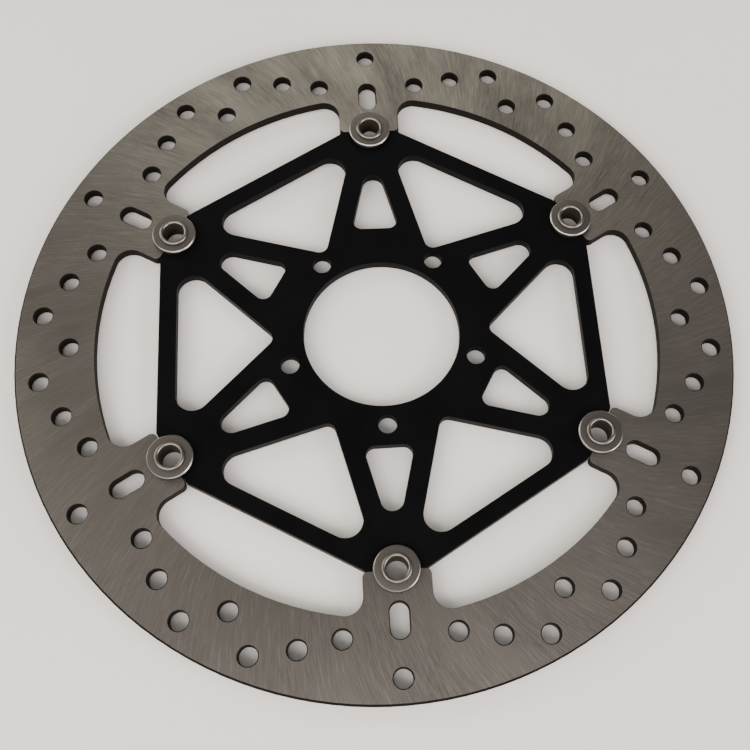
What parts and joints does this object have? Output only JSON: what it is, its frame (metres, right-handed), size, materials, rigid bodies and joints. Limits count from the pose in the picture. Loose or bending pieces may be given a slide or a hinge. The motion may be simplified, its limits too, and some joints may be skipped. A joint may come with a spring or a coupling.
{
  "type": "motorcycle brake disc rotor",
  "caption": "Full-floating motorcycle brake disc: a drilled and slotted steel ring on a light spoked carrier, joined by spinning hollow bobbins with flat and wave washers.",
  "frame": {"origin": "centre of the hub bore at the carrier's back face, the face that bolts to the wheel hub", "axes": "+Z along the wheel's axis, away from the wheel, towards the side with the washers; +Y through the middle of one bobbin, opposite a bolt hole"},
  "size_m": [0.32, 0.32, 0.0109],
  "materials": {
    "ground_stainless": "ground stainless steel with crossed grinding marks",
    "black_anodised": "satin black anodising",
    "bobbin_steel": "turned steel, bright rolled lip",
    "washer_steel": "turned steel washer, matt face and bright edge",
    "spring_steel": "dark spring steel strip"
  },
  "bodies": {
    "carrier": {"carrier": "black_anodised"},
    "ring": {"brake_ring": "ground_stainless"},
    "bobbin_1": {"bobbin_1": "bobbin_steel", "flat_washer_1": "washer_steel", "wave_washer_1": "spring_steel"},
    "bobbin_2": {"bobbin_2": "bobbin_steel", "flat_washer_2": "washer_steel", "wave_washer_2": "spring_steel"},
    "bobbin_3": {"bobbin_3": "bobbin_steel", "flat_washer_3": "washer_steel", "wave_washer_3": "spring_steel"},
    "bobbin_4": {"bobbin_4": "bobbin_steel", "flat_washer_4": "washer_steel", "wave_washer_4": "spring_steel"},
    "bobbin_5": {"bobbin_5": "bobbin_steel", "flat_washer_5": "washer_steel", "wave_washer_5": "spring_steel"},
    "bobbin_6": {"bobbin_6": "bobbin_steel", "flat_washer_6": "washer_steel", "wave_washer_6": "spring_steel"}
  },
  "joints": [
    {"name": "ring_float", "type": "slide", "parent": "carrier", "child": "ring", "axis": [0, 0, 1], "range_m": [0, 0.0003], "stiffness_N_per_m": 60000, "springref_m": -0.001, "deforming": ["wave_washer_1", "wave_washer_2", "wave_washer_3", "wave_washer_4", "wave_washer_5", "wave_washer_6"]},
    {"name": "bobbin_1_spin", "type": "hinge", "parent": "carrier", "child": "bobbin_1", "pos_m": [0, 0.1065, 0], "axis": [0, 0, 1], "continuous": true},
    {"name": "bobbin_2_spin", "type": "hinge", "parent": "carrier", "child": "bobbin_2", "pos_m": [0.09223, 0.05325, 0], "axis": [0, 0, 1], "continuous": true},
    {"name": "bobbin_3_spin", "type": "hinge", "parent": "carrier", "child": "bobbin_3", "pos_m": [0.09223, -0.05325, 0], "axis": [0, 0, 1], "continuous": true},
    {"name": "bobbin_4_spin", "type": "hinge", "parent": "carrier", "child": "bobbin_4", "pos_m": [0, -0.1065, 0], "axis": [0, 0, 1], "continuous": true},
    {"name": "bobbin_5_spin", "type": "hinge", "parent": "carrier", "child": "bobbin_5", "pos_m": [-0.09223, -0.05325, 0], "axis": [0, 0, 1], "continuous": true},
    {"name": "bobbin_6_spin", "type": "hinge", "parent": "carrier", "child": "bobbin_6", "pos_m": [-0.09223, 0.05325, 0], "axis": [0, 0, 1], "continuous": true}
  ]
}
